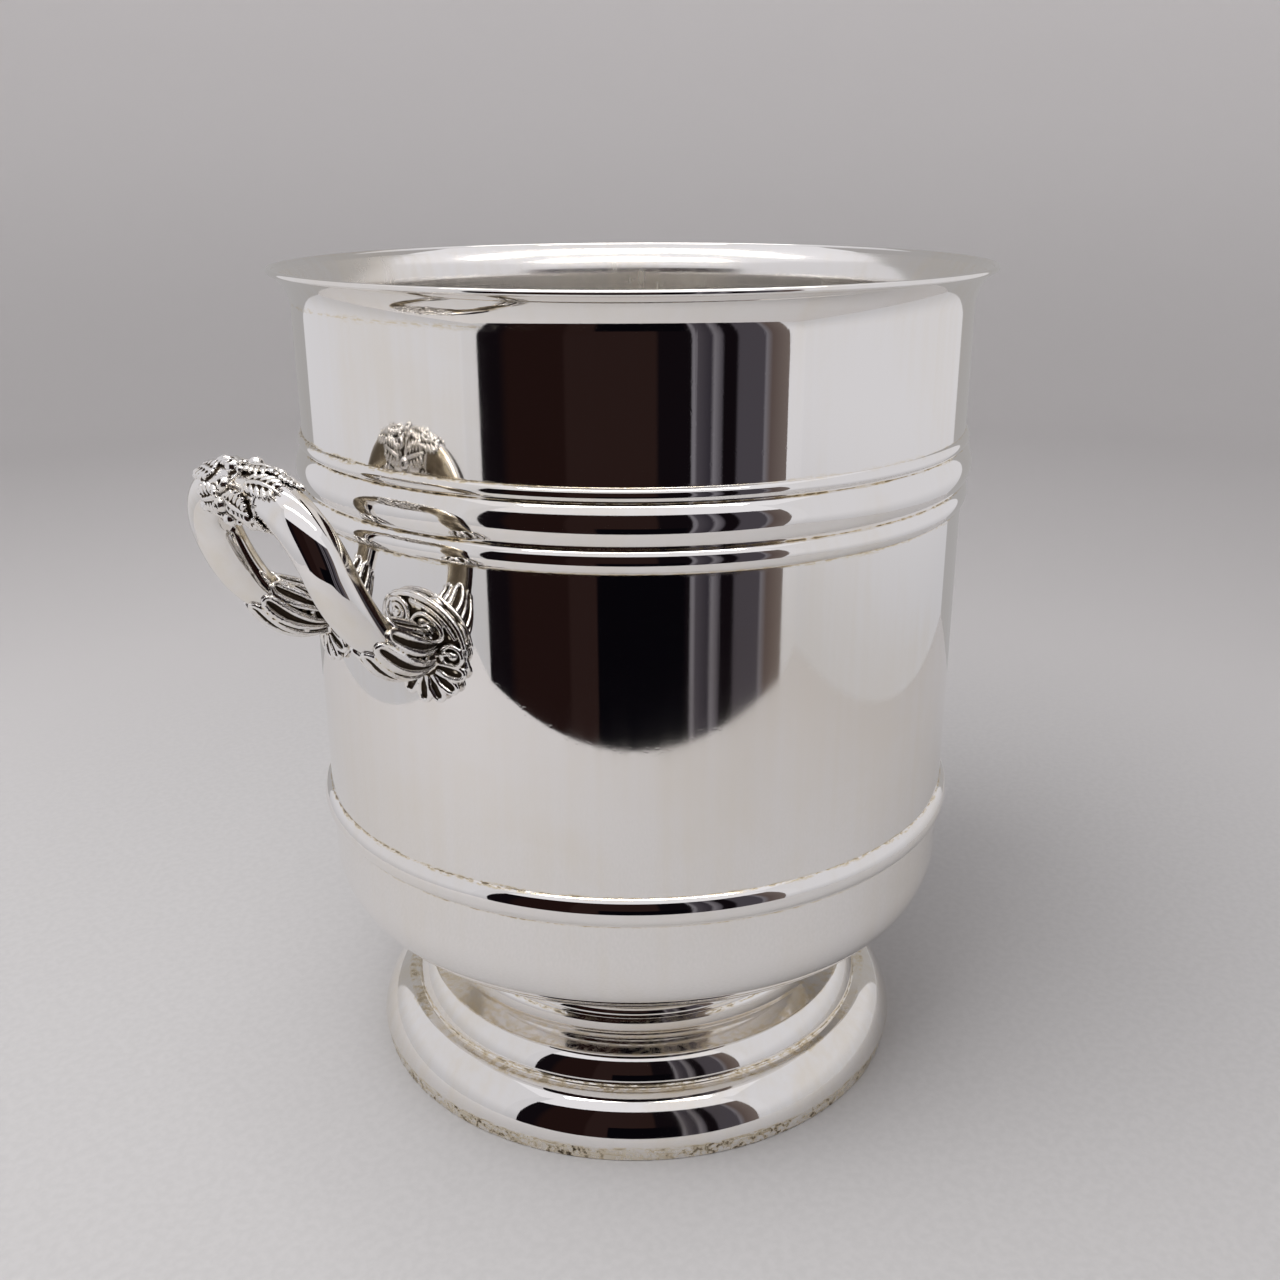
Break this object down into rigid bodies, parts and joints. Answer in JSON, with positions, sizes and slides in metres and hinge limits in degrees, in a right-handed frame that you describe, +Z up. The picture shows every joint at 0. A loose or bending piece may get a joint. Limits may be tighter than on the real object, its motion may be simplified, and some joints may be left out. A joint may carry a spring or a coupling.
{
  "type": "champagne bucket",
  "caption": "Round footed metal bucket for chilling a bottle, with a flared mouth, applied wires and two upswept cast handles.",
  "frame": {"origin": "centre of the foot's ring on the table", "axes": "+Z up through the mouth; the two handles stand on the X axis, at -X and +X"},
  "size_m": [0.2666, 0.2004, 0.24],
  "materials": {
    "bright_silver": "mirror-polished silver plate with fine scratches and dark tarnish along the seams",
    "cast_silver": "polished cast silver with brown-black tarnish in the hollows",
    "worn_silver": "worn, speckled silver plate"
  },
  "bodies": {
    "root": {"bowl": "bright_silver", "upper_bead": "bright_silver", "girdle_band": "bright_silver", "lower_bead": "bright_silver", "belly_wire": "bright_silver", "neck_ring": "bright_silver", "foot": "bright_silver", "base_band": "worn_silver", "left_bow": "bright_silver", "left_front_sheath": "cast_silver", "left_back_sheath": "cast_silver", "left_front_shell": "cast_silver", "left_back_shell": "cast_silver", "left_garland_leaves": "cast_silver", "left_garland_berries": "cast_silver", "right_bow": "bright_silver", "right_front_sheath": "cast_silver", "right_back_sheath": "cast_silver", "right_front_shell": "cast_silver", "right_back_shell": "cast_silver", "right_garland_leaves": "cast_silver", "right_garland_berries": "cast_silver"}
  },
  "joints": []
}
